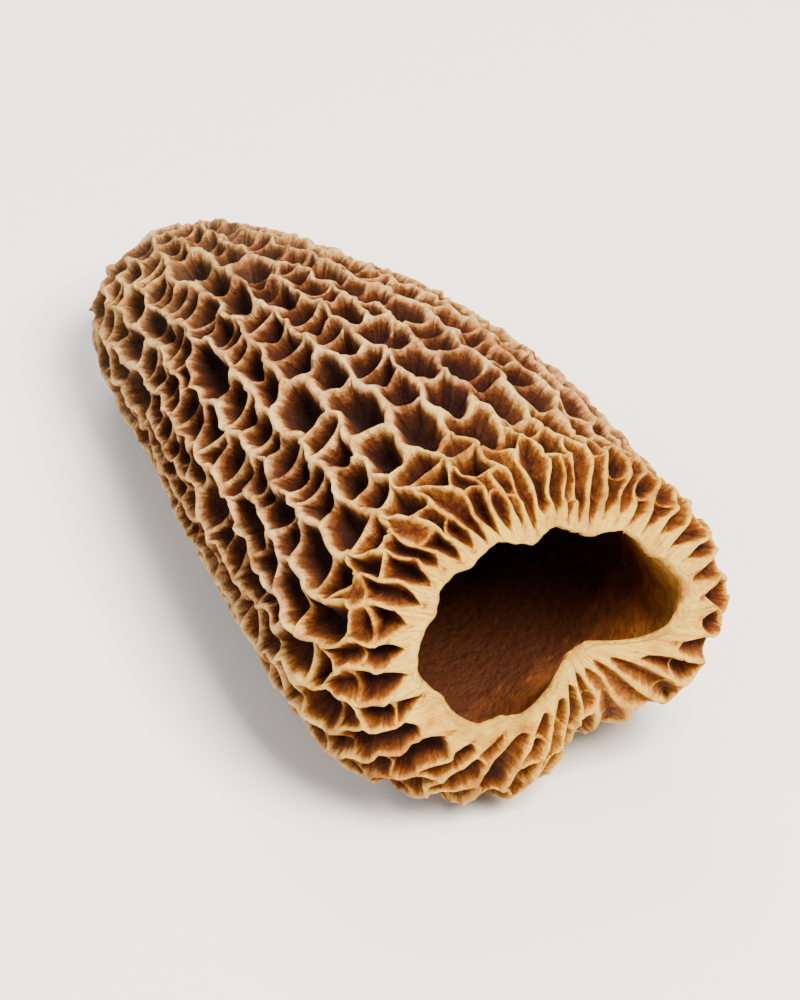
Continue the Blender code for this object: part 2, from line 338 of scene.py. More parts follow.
@dataclass
class PitNet:
    """The net of pits, placed by the same seeded rule as in the CAD source."""

    form: CapForm
    # Where each zone starts along the outline, its columns of pits, and the length of its pits.
    zones: tuple[tuple[float, int, float], ...] = (
        (2.7 * MM, 6, 2.8 * MM),
        (5.5 * MM, 12, 3.0 * MM),
        (8.6 * MM, 18, 3.5 * MM),
        (14.2 * MM, 23, 4.0 * MM),
        (25.0 * MM, 29, 4.4 * MM),
    )
    slot_columns: int = 43
    slot_bunch: float = 0.28
    slot_bunch_turn: float = math.radians(70)
    slot_row: float = 3.2 * MM
    slot_gap: float = 2.3 * MM
    stretch: float = 0.6
    jitter: float = 0.26
    sway: float = 1.3 * MM
    gap_share: float = 0.05
    twin_share: float = 0.10
    straighter: float = 0.55
    relax_rounds: int = 2
    relax_share: float = 0.30
    seed: int = 11
    band_width: float = 1.75 * MM
    band_uneven: float = 0.3
    crest_uneven: float = 0.30 * MM
    log_radii: list[float] = field(default_factory=list)
    seeds: list[tuple[float, float]] = field(default_factory=list)
    corners: list[NetCorner] = field(default_factory=list)
    pits: list[list[int]] = field(default_factory=list)
    band: list[list[int]] = field(default_factory=list)
    band_corners: set[int] = field(default_factory=set)
    slot_ends: set[int] = field(default_factory=set)
    free_seeds: int = 0

    MAP_STEPS = 600

    def __post_init__(self) -> None:
        """Draws the seeds and works out the corners of every pit."""
        self.measure_map()
        self.seeds = self.relaxed(self.scattered())
        self.join_corners()

    def measure_map(self) -> None:
        """Adds up the flat picture's radius from the tip to the lip."""
        step = self.form.reach / self.MAP_STEPS
        log_radius = 0.0
        self.log_radii.append(0.0)
        for i in range(1, self.MAP_STEPS + 1):
            s = (i - 0.5) * step
            radius = max(self.form.outline_at(s)[1], 0.8 * s if s < 2 * MM else 0.0)
            stretch = 1 + (self.stretch - 1) * eased(s / (12 * MM))
            log_radius += stretch * step / radius
            self.log_radii.append(log_radius)

    def map_spot(self, turn: float, s: float) -> Vector:
        """Finds a place of the surface in the flat picture.

        Args:
            turn: Direction round the axis.
            s: Distance from the tip along the outline.

        Returns:
            The spot in the flat picture.
        """
        place = min(s / (self.form.reach / self.MAP_STEPS), self.MAP_STEPS - 1e-6)
        low = int(place)
        here, onward = self.log_radii[low : low + 2]
        log_radius = here + (place - low) * (onward - here)
        radius = math.exp(log_radius - self.log_radii[-1]) if s > 0 else 0.0
        return Vector((radius * math.cos(turn), radius * math.sin(turn)))

    def winding(self, turn: float, s: float) -> float:
        """How far a column of pits strays sideways at this distance along the outline, as a turn."""
        stray = noise.noise(Vector((2 * math.cos(turn), 2 * math.sin(turn), s / (11 * MM))))
        return self.sway * stray / (self.form.outline_at(s)[1] + 2 * MM)

    def slot_turn(self, column: float) -> float:
        """Turn of a place in the row of slots, which are narrower on one side of the mouth."""
        even = FULL_TURN * column / self.slot_columns
        return even - self.slot_bunch * math.sin(even - self.slot_bunch_turn)

    def scattered(self) -> list[tuple[float, float]]:
        """Scatters the pits' middles, before they are evened out.

        Returns:
            Turn and distance along the outline of each.
        """
        rng = random.Random(self.seed)
        starts = [zone[0] for zone in self.zones] + [self.form.reach - self.slot_row - self.slot_gap]
        seeds = [(0.0, 0.0)]
        for (start, columns, length), end in zip(self.zones, starts[1:]):
            width = FULL_TURN / columns
            # Every second column starts half a pit later, and each zone is turned against the last.
            for column in range(columns):
                s = start + (0.5 * length if column % 2 else 0.0)
                while s < end - 0.25 * length:
                    turn = width * column + 0.6 * start / MM + self.winding(width * column, s)
                    turn += rng.uniform(-self.jitter, self.jitter) * width
                    here = s + rng.uniform(-self.jitter, self.jitter) * length
                    # Some places hold two narrow pits side by side, and a few hold none.
                    chance = rng.random()
                    if chance < self.twin_share:
                        seeds.append((turn - 0.27 * width, here + 0.12 * length))
                        seeds.append((turn + 0.27 * width, here - 0.12 * length))
                    elif chance < 1 - self.gap_share:
                        seeds.append((turn, here))
                    s += length * rng.uniform(0.85, 1.2)
        self.free_seeds = len(seeds)
        # The last two rows are the slots and, at the lip, the pieces of the smooth band.
        for s, lag in ((self.form.reach - self.slot_row, 0.5), (self.form.reach, 0.0)):
            for column in range(self.slot_columns):
                sway = rng.uniform(-0.18, 0.18) if lag else 0.0
                seeds.append((self.slot_turn(column + lag + sway), s))
        return seeds

    def triangles(self, seeds: list[tuple[float, float]]) -> list[list[int]]:
        """Delaunay triangles of the seeds in the flat picture."""
        return delaunay_2d_cdt([self.map_spot(*seed) for seed in seeds], [], [], 0, 1e-7)[2]

    def relaxed(self, seeds: list[tuple[float, float]]) -> list[tuple[float, float]]:
        """Moves each free seed a little toward the middle of its neighbours.

        Args:
            seeds: Turn and distance along the outline of each.

        Returns:
            The seeds after the move.
        """
        for _ in range(self.relax_rounds):
            around: list[set[int]] = [set() for _ in seeds]
            for triangle in self.triangles(seeds):
                for corner in triangle:
                    around[corner].update(triangle)
            moved = list(seeds)
            for i in range(1, self.free_seeds):
                others = [disc_spot(*seeds[k]) for k in around[i] if k != i]
                middle = sum(others, Vector((0, 0))) / len(others)
                spot = disc_spot(*seeds[i]).lerp(middle, self.relax_share)
                moved[i] = (math.atan2(spot.y, spot.x), spot.length)
            seeds = moved
        return seeds

    def corner_at(self, triangle: list[int]) -> NetCorner:
        """Sets a corner midway between the two columns of pits that meet there.

        Args:
            triangle: Indices of the three pits' seeds.

        Returns:
            The corner.
        """
        spots = [disc_spot(*self.seeds[k]) for k in triangle]
        middle = sum(spots, Vector((0, 0))) / 3
        turn, s = math.atan2(middle.y, middle.x), middle.length
        aparts = sorted(wrapped(math.atan2(spot.y, spot.x) - turn) for spot in spots)
        # The corner is drawn to halfway between the two pits of one column and the third pit.
        if aparts[1] - aparts[0] < aparts[2] - aparts[1]:
            midway = (0.5 * (aparts[0] + aparts[1]) + aparts[2]) / 2
        else:
            midway = (0.5 * (aparts[1] + aparts[2]) + aparts[0]) / 2
        turn += self.straighter * eased((s - 4 * MM) / (5 * MM)) * midway
        if max(triangle) >= len(self.seeds) - self.slot_columns:
            band_start = self.form.reach - self.band_width
            s = band_start + self.band_uneven * (s - self.form.reach + 0.5 * self.slot_row)
        fade = eased((self.form.reach - s) / (4 * MM))
        swell = noise.noise(self.form.crest_point(turn, s) / (4 * MM))
        return NetCorner(turn, s, self.crest_uneven * fade * swell)

    def join_corners(self) -> None:
        """Lists the corners of each pit in order, and those of each piece of the smooth band."""
        around: list[list[int]] = [[] for _ in self.seeds]
        first_lip_seed = len(self.seeds) - self.slot_columns
        for triangle in self.triangles(self.seeds):
            for k in triangle:
                around[k].append(len(self.corners))
            if sum(k >= first_lip_seed for k in triangle) == 2:
                self.slot_ends.add(len(self.corners))
            self.corners.append(self.corner_at(triangle))
        for k in range(first_lip_seed):
            heading = partial(self.heading, middle=disc_spot(*self.seeds[k]))
            self.pits.append(sorted(around[k], key=heading, reverse=True))
        for k in range(self.slot_columns):
            at_lip = around[first_lip_seed + k]
            self.band.append(sorted(at_lip, key=partial(self.lead, turn=self.slot_turn(k))))
            self.band_corners.update(at_lip)

    def heading(self, i: int, middle: Vector) -> float:
        """Direction of corner i from the middle of a pit on the disc."""
        apart = disc_spot(self.corners[i].turn, self.corners[i].s) - middle
        return math.atan2(apart.y, apart.x)

    def lead(self, i: int, turn: float) -> float:
        """How far corner i lies past a turn."""
        return wrapped(self.corners[i].turn - turn)


@dataclass
class Skin:
    """Points, faces and paint values of a mesh as they are gathered."""

    points: list[Vector] = field(default_factory=list)
    faces: list[list[int]] = field(default_factory=list)
    ribs: list[float] = field(default_factory=list)
    roots: list[Vector] = field(default_factory=list)
    mouths: list[float] = field(default_factory=list)
    linings: list[float] = field(default_factory=list)
    tips: list[float] = field(default_factory=list)

    def add(
        self, point: Vector, rib: float, root: Vector, mouth: float, lining: float, tip: float
    ) -> int:
        """Adds a point.

        Args:
            point: Its place.
            rib: Height between a pit's floor at 0 and a rib's crest at 1. The colours follow it, partly
                as painted shade low down and a painted highlight on the crests.
            root: The crest point above it, which keeps streaks running straight down a wall.
            mouth: Nearness to the mouth from 0 to 1.
            lining: 1 in the hollow and 0 outside.
            tip: Nearness to the tip from 0 to 1.

        Returns:
            The point's index.
        """
        self.points.append(point)
        self.ribs.append(rib)
        self.roots.append(root)
        self.mouths.append(mouth)
        self.linings.append(lining)
        self.tips.append(tip)
        return len(self.points) - 1

    def bridge(self, outer: list[int], inner: list[int]) -> None:
        """Joins two closed rows of points with a strip of faces.

        Args:
            outer: Indices of the first row.
            inner: Indices of the second row, which has as many points or every second one.
        """
        if len(inner) == len(outer):
            for i in range(len(outer)):
                self.faces.append([outer[i - 1], outer[i], inner[i], inner[i - 1]])
            return
        for i, point in enumerate(inner):
            onward = outer[2 * i : 2 * i + 3]
            if i == len(inner) - 1:
                onward.append(outer[0])
            self.faces.append([*onward, inner[(i + 1) % len(inner)], point])


@dataclass(frozen=True)
class RibSection:
    """One ring of a pit's wall.

    Its inset runs in from the crest line, its drop is a share of the pit's depth, and rib is how high it
    counts in the colours, so a lower ring is painted darker as painted shade. It is smoothed so many
    times. A halved ring has every second point only.
    """

    inset: float
    drop: float
    rib: float
    smooth: int
    halved: bool = False


@dataclass
class FineCap:
    """The finer skin of the whole cap, one closed mesh.

    Its ribs follow the seeded net, which no primitive can be shaped into, so it is laid point by point.
    """

    form: CapForm
    net: PitNet
    step: float = 0.38 * MM
    wander: float = 0.42 * MM
    wander_share: float = 0.14
    wander_size: float = 2.2 * MM
    cross_sag: float = 0.70 * MM
    long_sag: float = 0.08 * MM
    full_sag_length: float = 2.2 * MM
    sag_spread: tuple[float, float] = (0.4, 1.6)
    shoulder_calm: float = 0.75
    shoulder_start: float = 7.0 * MM
    shoulder_fade: float = 2.0 * MM
    crest_bumps: float = 0.17 * MM
    pit_depth: float = 2.3 * MM
    slot_depth: float = 1.6 * MM
    fold_shallow: float = 1.0
    least_wall: float = 0.55 * MM
    most_steep: float = 2.4
    most_closed: float = 0.8
    tip_depth: float = 0.2 * MM
    tip_depth_share: float = 0.26
    split_length: float = 3.5 * MM
    split_share: float = 0.68
    split_sag: float = 0.75 * MM
    pocket: float = 1.0 * MM
    right_pocket: float = 0.4 * MM
    least_band: float = 0.75 * MM
    slot_end_drop: float = 0.6 * MM
    # Colour height of a slot's sunken end, which paints it darker as painted shade.
    slot_end_rib: float = 0.84
    slot_rib_sag: float = 0.35 * MM
    flute_height: float = 0.45 * MM
    wrinkle: float = 0.13 * MM
    lip_cusp_degrees: tuple[float, ...] = (24, 53, 93, 128, 160, 203, 231, 262, 338)
    lip_scallop: float = 0.75 * MM
    lining_wrinkle: float = 0.30 * MM
    lip_edge: float = 1.6 * MM
    gold_start: float = 2.0 * MM
    gold_fade: float = 13.0 * MM
    inner_gold_fade: float = 20.0 * MM
    tip_start: float = 4.0 * MM
    tip_fade: float = 26.0 * MM
    sections: tuple[RibSection, ...] = (
        RibSection(0.15 * MM, 0.012, 0.98, 0),
        RibSection(0.29 * MM, 0.080, 0.86, 0),
        RibSection(0.42 * MM, 0.260, 0.62, 1),
        RibSection(0.58 * MM, 0.540, 0.36, 2),
        RibSection(0.80 * MM, 0.820, 0.15, 2, True),
        RibSection(1.15 * MM, 1.000, 0.00, 4),
    )
    skin: Skin = field(default_factory=Skin)
    corner_points: list[int] = field(default_factory=list)
    ribs: dict[tuple[int, int], list[int]] = field(default_factory=dict)
    places: dict[int, tuple[float, float, float]] = field(default_factory=dict)
    outwards: dict[int, Vector] = field(default_factory=dict)
    lining: BVHTree | None = None
    rng: random.Random = field(default_factory=lambda: random.Random(23))

    def crest(self, turn: float, s: float, rise: float, rib: float) -> int:
        """Adds a point of the crest surface and remembers its place.

        Args:
            turn: Direction round the axis.
            s: Distance from the tip along the outline.
            rise: Height above the crest surface.
            rib: Height in the net's colours, 1 on a crest.

        Returns:
            The point's index.
        """
        point = self.form.crest_point(turn, s, rise)
        mouth = eased(1 - (self.form.reach - s - self.gold_start) / self.gold_fade)
        tip = eased(1 - (s - self.tip_start) / self.tip_fade)
        index = self.skin.add(point, rib, point, mouth, 0.0, tip)
        self.places[index] = (turn, s, rise)
        return index

    def outward(self, index: int) -> Vector:
        """Finds the outward direction at a crest point.

        Args:
            index: The point's index.

        Returns:
            The direction.
        """
        if index not in self.outwards:
            turn, s, _ = self.places[index]
            apart = 1.2 * MM
            swing = apart / max(self.form.outline_at(s)[1], apart)
            at = self.form.crest_point
            onward = at(turn, s + apart) - at(turn, s - apart)
            around = at(turn + swing, s) - at(turn - swing, s)
            self.outwards[index] = around.cross(onward).normalized()
        return self.outwards[index]

    def rib_points(self, a: int, b: int) -> list[int]:
        """Points along the rib between two corners, without the corners, made once for both its pits.

        Args:
            a: Corner that the rib starts from.
            b: Corner that it runs to.

        Returns:
            Indices of the points in order from a to b.
        """
        key = (min(a, b), max(a, b))
        if key not in self.ribs:
            self.ribs[key] = self.new_rib(*key)
        made = self.ribs[key]
        return made if a == key[0] else made[::-1]

    def new_rib(self, a: int, b: int) -> list[int]:
        """Makes the winding line of a rib.

        Args:
            a: Corner that the rib starts from.
            b: Corner that it runs to.

        Returns:
            Indices of its points in order, without the corners.
        """
        first, last = self.net.corners[a], self.net.corners[b]
        swing = wrapped(last.turn - first.turn)
        radius = max(self.form.outline_at((first.s + last.s) / 2)[1], MM)
        sideways, lengthways = swing * radius, last.s - first.s
        length = math.hypot(sideways, lengthways)
        steps = max(2, round(length / self.step))
        ends_on_band = [end in self.net.band_corners for end in (a, b)]
        on_band = all(ends_on_band)
        calm = 0.0 if on_band else 1.0
        # Ribs that cross a column of pits sag more than ribs that run along it.
        sag = self.long_sag + (self.cross_sag - self.long_sag) * (sideways / length) ** 2
        sag *= calm * min(1.0, length / self.full_sag_length) * self.rng.uniform(*self.sag_spread)
        from_lip = self.form.reach - (first.s + last.s) / 2
        sag *= 1 - self.shoulder_calm * eased((self.shoulder_start - from_lip) / self.shoulder_fade)
        if any(ends_on_band) and not on_band:
            sag += self.slot_rib_sag * self.rng.uniform(0.0, 1.0)
        # A slot's lower end is rounded, not pointed.
        rounding = 0.0
        if on_band and (a in self.net.slot_ends) != (b in self.net.slot_ends):
            rounding = min(0.8 * abs(lengthways), 0.5 * abs(sideways))
        stray_reach = min(self.wander, self.wander_share * length) * (0.4 + 0.6 * calm)
        salt = self.rng.uniform(0, 50)
        made = []
        for k in range(1, steps):
            t = k / steps
            arch = math.sin(math.pi * t)
            wind = noise.noise(Vector((salt, 1.3, t * length / self.wander_size)))
            stray = stray_reach * min(1.0, 1.7 * arch) * 2.2 * wind
            turn = first.turn + swing * t + stray * lengthways / length / radius
            s = first.s + lengthways * t - stray * sideways / length
            s += rounding * (arch - 0.3 * arch**2) * 0.5
            rise = first.rise + (last.rise - first.rise) * t - sag * arch**1.5
            rise += self.crest_bumps * calm * rough(self.form.crest_point(turn, s), 1.0 * MM, 3.1)
            # A rib that sags is painted darker in its middle: painted shade on the lower crest.
            made.append(self.crest(turn, s, rise, 1.0 - 0.28 * min(1.2, sag / self.cross_sag) * arch))
        return made

    def ring_of(self, corners: list[int]) -> list[int]:
        """Strings the closed line of points round a pit, corners and ribs together.

        Args:
            corners: The pit's corners in order.

        Returns:
            Indices of the points in order.
        """
        ring = []
        for i, corner in enumerate(corners):
            ring.append(self.corner_points[corner])
            ring.extend(self.rib_points(corner, corners[(i + 1) % len(corners)]))
        return ring

    @staticmethod
    def plane_of(points: list[Vector]) -> tuple[Vector, Vector, Vector, Vector]:
        """Fits a plane to a pit's rim.

        Args:
            points: The rim's points in order.

        Returns:
            Middle, outward normal, long axis and short axis.
        """
        middle = sum(points, Vector()) / len(points)
        normal = Vector()
        for i, point in enumerate(points):
            normal += (points[i - 1] - middle).cross(point - middle)
        normal.normalize()
        side = normal.orthogonal().normalized()
        up = normal.cross(side)
        xs, ys = offsets(points, middle, side), offsets(points, middle, up)
        xy = sum(x * y for x, y in zip(xs, ys))
        angle = 0.5 * math.atan2(2 * xy, sum(x**2 for x in xs) - sum(y**2 for y in ys))
        long_axis = side * math.cos(angle) + up * math.sin(angle)
        return middle, normal, long_axis, normal.cross(long_axis)

    def split(self, ring: list[int], is_slot: bool) -> list[list[int]]:
        """Parts some of the long pits in two with a low cross rib.

        Args:
            ring: The rim's points in order.
            is_slot: Whether the pit is one of the row of slots round the mouth.

        Returns:
            One rim, or two that share the cross rib.
        """
        points = [self.skin.points[i] for i in ring]
        middle, normal, long_axis, short_axis = self.plane_of(points)
        along = offsets(points, middle, long_axis)
        across = offsets(points, middle, short_axis)
        length = max(along) - min(along)
        chance = self.rng.random()
        cut = self.rng.uniform(-0.16, 0.16) * length
        lean = self.rng.uniform(-0.35, 0.35)
        least = self.split_length * (1.15 if is_slot else 1.0)
        if length < least or chance > self.split_share:
            return [ring]
        from_cut = [abs(a - cut - lean * b) for a, b in zip(along, across)]
        i = min((k for k, a in enumerate(across) if a > 0), key=from_cut.__getitem__)
        j = min((k for k, a in enumerate(across) if a <= 0), key=from_cut.__getitem__)
        start, end = points[i], points[j]
        steps = max(2, round((end - start).length / self.step))
        sag = self.split_sag * self.rng.uniform(0.35, 1.3)
        bow = self.rng.uniform(-0.5, 0.5) * MM
        chord = []
        for k in range(1, steps):
            t = k / steps
            arch = math.sin(math.pi * t)
            point = start.lerp(end, t) - normal * sag * arch**0.6 + long_axis * bow * arch
            # A cross rib is painted darker where it sags: painted shade on the lower crest.
            rib = 1.0 - 0.35 * arch * sag / self.split_sag
            a = ring[i]
            chord.append(self.skin.add(point, rib, point, self.skin.mouths[a], 0.0, self.skin.tips[a]))
            self.outwards[chord[-1]] = self.outward(a).lerp(self.outward(ring[j]), t).normalized()
        low, high = min(i, j), max(i, j)
        forth = chord if low == i else chord[::-1]
        return [ring[low : high + 1] + forth[::-1], ring[high:] + ring[: low + 1] + forth]

    def room_below(self, point: Vector, down: Vector) -> float:
        """How deep a pit can go here before its wall to the hollow gets too thin."""
        hit = self.lining.ray_cast(point, down)
        return (hit[3] if hit[0] else 1.0) - self.least_wall

    def spine_targets(self, rim: list[Vector]) -> list[Vector]:
        """Finds the point on a pit's middle line that each point of its rim is drawn in toward.

        Args:
            rim: The rim's points in order.

        Returns:
            The points on the middle line, in the same order.
        """
        middle, normal, long_axis, short_axis = self.plane_of(rim)
        along, across, lifts = (
            offsets(rim, middle, axis) for axis in (long_axis, short_axis, normal)
        )
        half_short = sum(abs(a) for a in across) / len(rim) * 1.35
        low, high = min(along) + 1.15 * half_short, max(along) - 1.15 * half_short
        if low > high:
            low = high = (low + high) / 2
        # The rim is cut into its two long sides, and the middle line runs halfway between them.
        first, last = along.index(min(along)), along.index(max(along))
        turned = [(first + k) % len(rim) for k in range(len(rim))]
        cut = (last - first) % len(rim)
        sides = (turned[: cut + 1], [*turned[cut:], first])
        targets = []
        for i, t in enumerate(along):
            t = min(max(t, low), high)
            centre = 0.0
            for side in sides:
                weights = [math.exp(-(((along[k] - t) / (0.5 * MM)) ** 2)) + 1e-9 for k in side]
                centre += 0.5 * sum(w * across[k] for w, k in zip(weights, side)) / sum(weights)
            targets.append(middle + long_axis * t + short_axis * centre + normal * lifts[i])
        return targets

    def safe_depth(
        self, rim: list[Vector], targets: list[Vector], downs: list[Vector], depth: float
    ) -> float:
        """How deep a pit can go: in proportion to its width, clear of the hollow and of its own walls.

        Args:
            rim: The rim's points in order.
            targets: The points on the middle line that they are drawn in toward.
            downs: The directions that they sink in.
            depth: The depth that is wanted.

        Returns:
            The depth that the place allows.
        """
        reaches = sorted((t - p).length for p, t in zip(rim, targets))
        depth = min(depth, self.most_steep * reaches[len(reaches) // 5])
        for k in range(0, len(rim), 3):
            inward = targets[k] - rim[k]
            # Walls that lean toward each other would meet in a deeper pit.
            closing = downs[k].dot(inward) / max(inward.length_squared, 1e-12)
            if closing > 0:
                depth = min(depth, self.most_closed / closing)
            depth = min(depth, self.room_below(rim[k].lerp(targets[k], 0.5), downs[k]))
        return max(0.15 * MM, depth)

    def hollow_out(self, ring: list[int], depth: float, salt: float) -> None:
        """Lofts a pit from its rim down to its floor.

        Args:
            ring: The rim's points in order.
            depth: Depth of the pit where it is wide enough to reach it.
            salt: Sets this pit's wrinkles apart from the next one's.
        """
        skin = self.skin
        rim = [skin.points[i] for i in ring]
        targets = self.spine_targets(rim)
        reaches = [max((t - p).length, 0.05 * MM) for p, t in zip(rim, targets)]
        downs = [-self.outward(i) for i in ring]
        # The directions are evened out along the rim, so that the walls do not cross.
        for _ in range(6):
            downs = [
                (2 * down + downs[i - 1] + downs[(i + 1) % len(downs)]).normalized()
                for i, down in enumerate(downs)
            ]
        depth = self.safe_depth(rim, targets, downs, depth * (1 + 0.2 * rough(rim[0], 3 * MM, 7.7)))
        full = self.sections[-1].inset
        # Painted shade: the deeper the pit, the darker its walls and floor are painted.
        shade = min(1.0, 0.35 + 0.65 * depth / (1.5 * MM))
        # The rings are drawn in less where the pit is narrow or its walls drift together.
        tightness = []
        for point, target, reach, down in zip(rim, targets, reaches, downs):
            drift = max(0.0, depth * down.dot(target - point) / reach)
            tightness.append(min(1.0, 0.78 * max(0.15 * reach, reach - drift) / full))
        outer, steps = ring, list(range(len(ring)))
        shares = [0.0] * len(ring)
        for section in self.sections:
            if section.halved:
                steps = steps[::2]
            places = []
            for i in steps:
                thickness = 1 + 0.38 * rough(rim[i], 1.4 * MM, 5.3) * (1 - section.drop)
                inset = section.inset * tightness[i] * thickness
                ripple = self.wrinkle * tightness[i] * section.drop**0.5
                inset += ripple * rough(rim[i], 0.75 * MM, salt)
                shares[i] = min(0.86, max(shares[i] + 0.02, inset / reaches[i]))
                places.append(rim[i].lerp(targets[i], shares[i]))
            for _ in range(section.smooth):
                places = [
                    0.5 * p + 0.25 * (places[i - 1] + places[(i + 1) % len(places)])
                    for i, p in enumerate(places)
                ]
            inner = []
            for i, place in zip(steps, places):
                swell = 0.12 * rough(place, 1.1 * MM, salt + 1.0) * section.drop**2
                below = place + downs[i] * depth * (section.drop + swell)
                a = ring[i]
                rib = (1 - (1 - section.rib) * shade) * skin.ribs[a]
                inner.append(skin.add(below, rib, rim[i], skin.mouths[a], 0.0, skin.tips[a]))
            skin.bridge(outer, inner)
            outer = inner
        skin.faces.append(outer)

    def scalloped(self, point: Vector, turn: float, weight: float) -> Vector:
        """Moves a point with the scallops of the lip.

        Args:
            point: The point on a smooth lip.
            turn: Direction round the axis.
            weight: Share of the move, 1 at the lip itself.

        Returns:
            The moved point.
        """
        degrees = math.degrees(turn) % 360
        first, last = self.lip_cusp_degrees[0], self.lip_cusp_degrees[-1]
        cusps = [last - 360, *self.lip_cusp_degrees, first + 360]
        after = bisect_right(cusps, degrees)
        low, high = cusps[after - 1 : after + 1]
        bow = math.sin(math.pi * (degrees - low) / (high - low)) ** 1.4
        around = Vector((math.cos(turn), math.sin(turn), 0.0))
        nicks = 1.6 * noise.noise(around * 6.3 + Vector((0, 0, 2.2)))
        nicks += 0.9 * noise.noise(around * 17.0 + Vector((0, 0, 4.6)))
        sway = 1.6 * noise.noise(around * 3.1 + Vector((0, 0, 9.4)))
        deep = self.lip_scallop * min(1.0, (high - low) / 34)
        inward = deep * (0.55 - bow) + 0.22 * self.lip_scallop * nicks
        onward = 0.4 * self.lip_scallop * sway
        return point + weight * Vector((-inward * around.x, onward, -inward * around.y))

    def band_and_lining(self) -> None:
        """Carries the slots' lower ends over the smooth band and the lip, and on into the hollow."""
        # Each column of points has its start, its turn at the lip and how far it is from a slot's end.
        columns: list[tuple[int, float, float]] = []
        for k, corners in enumerate(self.net.band):
            line, flutes = [], []
            for a, b in zip(corners, corners[1:]):
                piece = [self.corner_points[a], *self.rib_points(a, b)]
                low, high = (float(end not in self.net.slot_ends) for end in (a, b))
                flutes += [low + (high - low) * i / len(piece) for i in range(len(piece))]
                line += piece
            low, high = self.net.slot_turn(k - 0.5), self.net.slot_turn(k + 0.5)
            turns = [low + (high - low) * i / len(line) for i in range(len(line))]
            columns += zip(line, turns, flutes)
        outer = [index for index, _, _ in columns]
        for share in (0.12, 0.28, 0.46, 0.63, 0.78, 0.90, 1.0):
            inner = []
            for index, lip_turn, flute in columns:
                turn, s, rise = self.places[index]
                there = turn + wrapped(lip_turn - turn) * share
                onward = s + (self.form.reach - s) * share
                around = Vector((math.cos(there), math.sin(there), 0.0)) * 13 * MM
                ridge = 0.20 * MM * rough(around, 1.5 * MM, 1.9)
                ridge += 0.09 * MM * rough(around, 0.6 * MM, 6.1)
                fluting = self.flute_height * (eased(flute) - 0.5) * (1 - share) ** 0.7
                fluting *= math.sin(math.pi * share**0.5)
                height = rise * (1 - share) ** 2 + fluting + ridge * (1 - share**3)
                weight = eased((share - 0.15) / 0.85)
                point = self.scalloped(self.form.crest_point(there, onward, height), there, weight)
                # Between the flutes near a slot's end the band is painted darker: painted shade in the
                # grooves.
                rib = 1.0 - 0.34 * (1 - eased(flute)) * (1 - share) ** 1.5
                inner.append(self.skin.add(point, rib, self.skin.roots[index], 1.0, 0.0, 0.0))
            self.skin.bridge(outer, inner)
            outer = inner
        self.line_hollow(outer, [lip_turn for _, lip_turn, _ in columns])

    def hollow_rings(self) -> list[tuple[float, float]]:
        """Spaces the rings of the lining, from the lip inward.

        Returns:
            Distance from the tip and radius of each ring.
        """
        form = self.form
        given = [(form.length, form.lip_radius), *form.hollow, (form.hollow_end, 0.0)]
        # The first two rings round off the inner edge of the lip.
        rings = [(56.9 * MM, 7.42 * MM), (56.65 * MM, 7.28 * MM)]
        points = [Vector(g) for g in given]
        padded = [points[0], *points, points[-1]]
        for i in range(1, len(padded) - 3):
            span = (padded[i + 2] - padded[i + 1]).length
            steps = max(1, round(span / (1.1 * MM)))
            for k in range(steps):
                rings.append(tuple(form.between(padded[i : i + 4], k / steps)))
        return rings

    def lining_point(self, turn: float, axial: float, radius: float) -> Vector:
        """Places a point of the hollow's wrinkled lining.

        Args:
            turn: Direction round the axis.
            axial: Distance from the tip along the axis.
            radius: Distance from the axis.

        Returns:
            The point, before the cap is laid down.
        """
        inward = self.form.length - axial
        around = Vector((math.cos(turn), math.sin(turn), 0.0))
        folds = 1.6 * noise.noise(around * 2.6 + Vector((0, 0, axial / (9 * MM))))
        pleats = 1.6 * noise.noise(around * 8.0 + Vector((5.0, 0, axial / (7 * MM))))
        crumple = self.lining_wrinkle * (folds + 0.45 * pleats) * eased(inward / self.lip_edge)
        crumple = max(crumple, -0.25 * MM) * min(1.0, radius / (6 * MM))
        point = self.form.hollow_point(turn, axial, radius - crumple)
        return self.scalloped(point, turn, 1 - eased(inward / (3.5 * MM)))

    def measure_lining(self, columns: int = 120) -> None:
        """Makes a plain copy of the lining, to tell how deep the pits can go.

        Args:
            columns: Number of points round the hollow.
        """
        rings = self.hollow_rings()
        points, faces = [], []
        for row, (axial, radius) in enumerate(rings):
            turns = [FULL_TURN * k / columns for k in range(columns)]
            points += [self.lining_point(turn, axial, radius) for turn in turns]
            if row:
                here, back = row * columns, (row - 1) * columns
                faces += [(back + k, back + k - 1, here + k - 1, here + k) for k in range(1, columns)]
                faces.append((back, here - 1, here + columns - 1, here))
        self.lining = BVHTree.FromPolygons(points, faces)

    def line_hollow(self, lip: list[int], turns: list[float]) -> None:
        """Lines the hollow ring by ring from the lip to its blind end.

        Args:
            lip: Indices of the lip's points in order.
            turns: Directions of those points round the axis.
        """
        outer = lip
        # The hollow narrows, so from each of these depths on a ring has half as many points.
        halve_at = [6.0 * MM, 38.0 * MM]
        for axial, radius in self.hollow_rings():
            inward = self.form.length - axial
            if halve_at and inward > halve_at[0]:
                halve_at.pop(0)
                turns = turns[::2]
            lining = eased(inward / self.lip_edge)
            mouth = 1 - eased(inward / self.inner_gold_fade)
            inner = []
            for turn in turns:
                point = self.lining_point(turn, axial, radius)
                # Over the lip's inner edge the colour height falls to half: painted shade as the surface
                # turns into the hollow.
                inner.append(self.skin.add(point, 1 - 0.5 * lining, point, mouth, lining, 0.0))
            self.skin.bridge(outer, inner)
            outer = inner
        end = self.form.placed(0.0, self.form.hollow_end, 0.0)
        centre = self.skin.add(end, 0.5, end, 0.0, 1.0, 0.0)
        for i in range(len(outer)):
            self.skin.faces.append([centre, outer[i - 1], outer[i]])

